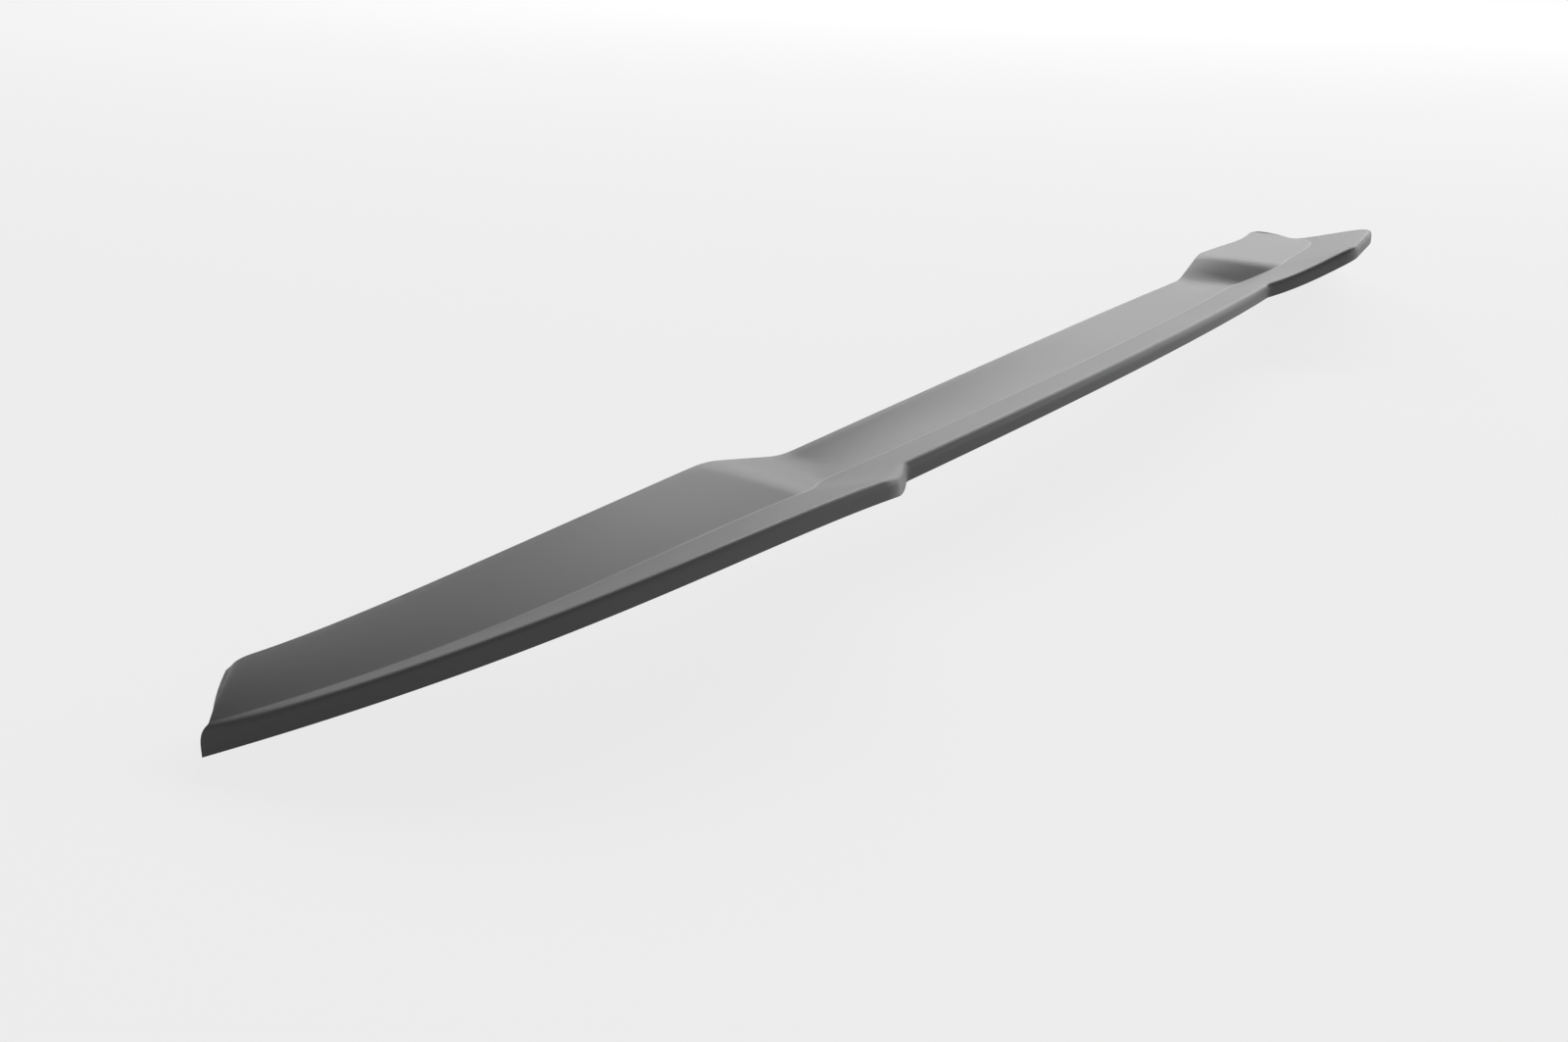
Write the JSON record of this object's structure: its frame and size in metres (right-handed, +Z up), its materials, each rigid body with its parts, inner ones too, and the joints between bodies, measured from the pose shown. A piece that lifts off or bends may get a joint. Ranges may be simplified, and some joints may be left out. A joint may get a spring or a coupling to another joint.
{
  "type": "car spoiler",
  "caption": "Moulded plastic rear spoiler lip with raised swept-back end sections, a lower bowed centre, an upswept shelf and a rounded turned-down lip.",
  "frame": {"origin": "underside of the centre deck, halfway between its front edge and its crease, on the mirror plane", "axes": "+X along the part to the car's right, +Y to the front of the car, +Z up as fitted on the car"},
  "size_m": [1.2114, 0.1667, 0.0645],
  "materials": {
    "dark_plastic": "smooth satin, moulded in dark grey"
  },
  "bodies": {
    "root": {"spoiler_shell": "dark_plastic"}
  },
  "joints": []
}
